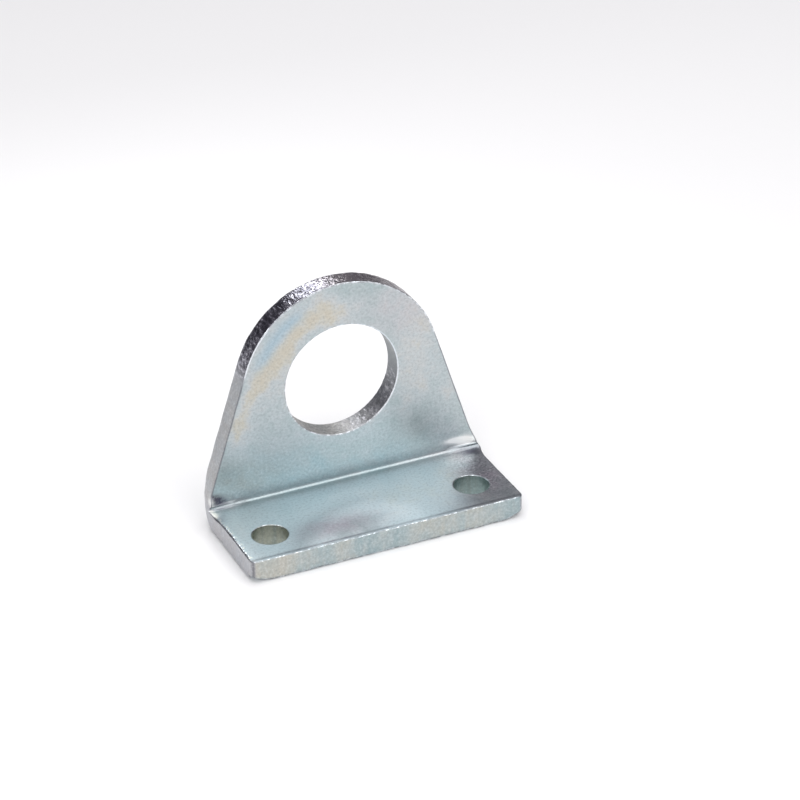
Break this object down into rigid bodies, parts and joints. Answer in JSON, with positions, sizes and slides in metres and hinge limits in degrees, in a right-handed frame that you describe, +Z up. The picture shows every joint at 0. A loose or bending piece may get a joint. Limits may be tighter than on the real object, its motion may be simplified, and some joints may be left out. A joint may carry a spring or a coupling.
{
  "type": "cylinder foot mount",
  "caption": "L-shaped folded steel foot bracket with a round bore for a pneumatic cylinder's threaded nose and bolt holes in its base.",
  "frame": {"origin": "on the underside of the base, midway between the two bolt holes", "axes": "+X along the fold, from one bolt hole to the other; +Y along the bore, from the nut's side to the face that the cylinder seats on; +Z up, from the base to the crown"},
  "size_m": [0.0546, 0.0247, 0.0445],
  "materials": {
    "zinc_plated_steel": "electroplated zinc with a blue-clear passivation, satin, faintly iridescent"
  },
  "bodies": {
    "root": {"foot_bracket": "zinc_plated_steel"}
  },
  "joints": []
}
